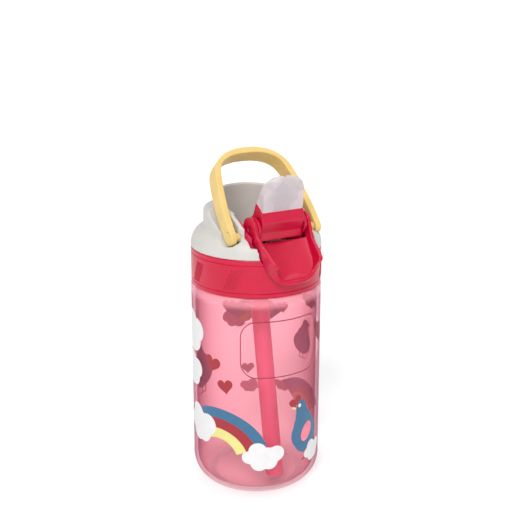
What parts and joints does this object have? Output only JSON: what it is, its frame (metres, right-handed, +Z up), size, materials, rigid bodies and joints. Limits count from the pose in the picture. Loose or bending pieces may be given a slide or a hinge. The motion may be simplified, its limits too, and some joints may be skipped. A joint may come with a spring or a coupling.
{
  "type": "children's drinking bottle",
  "caption": "Clear pink drinking bottle for a child, with a screw lid, a fold-away spout under a swinging cover, a straw and a carrying handle.",
  "frame": {"origin": "centre of the standing ring, on the surface the bottle stands on", "axes": "+Z up the bottle's axis, -Y towards the open spout cover, +X to the drinker's left when they face the spout"},
  "size_m": [0.073, 0.0799, 0.1901],
  "materials": {
    "clear_body": "clear tinted plastic",
    "crimson": "satin",
    "pale_grey": "satin",
    "yellow": "satin",
    "milky": "satin",
    "pin_grey": "satin"
  },
  "bodies": {
    "bottle": {"bottle_body": "clear_body"},
    "lid_seal": {"lid_gasket": "milky"},
    "lid": {"lid_collar": "crimson", "inner_lid": "pale_grey", "lid_top": "pale_grey", "flow_duct": "pale_grey", "duct_seal": "milky", "straw_socket": "crimson", "straw": "crimson", "vent_valve": "milky", "port_seal": "milky", "spout_frame": "crimson", "spout_pin_left": "pin_grey", "spout_pin_right": "pin_grey", "handle_pin_left": "yellow", "handle_pin_right": "yellow"},
    "cover": {"spout_cover": "crimson"},
    "spout": {"spout_carrier": "crimson", "mouthpiece": "milky"},
    "handle": {"handle": "yellow"}
  },
  "joints": [
    {"name": "lid_rise", "type": "slide", "parent": "bottle", "child": "lid_seal", "axis": [0, 0, 1], "range_m": [0, 0.005]},
    {"name": "lid_turn", "type": "hinge", "parent": "lid_seal", "child": "lid", "pos_m": [0, 0, 0.127], "axis": [0, 0, 1], "range_deg": [0, 450]},
    {"name": "cover_swing", "type": "hinge", "parent": "lid", "child": "cover", "pos_m": [0, -0.022, 0.1528], "axis": [-1, 0, 0], "range_deg": [0, 215]},
    {"name": "spout_fold", "type": "hinge", "parent": "lid", "child": "spout", "pos_m": [0, -0.022, 0.1528], "axis": [-1, 0, 0], "range_deg": [0, 108]},
    {"name": "handle_swing", "type": "hinge", "parent": "lid", "child": "handle", "pos_m": [0, -0.0185, 0.1485], "axis": [1, 0, 0], "range_deg": [-3, 98]}
  ],
  "couplings": [
    {"joint": "lid_rise", "follows": "lid_turn", "m_per_rad": 0.00063661},
    {"joint": "spout_fold", "follows": "cover_swing", "ratio": 0.5023}
  ]
}
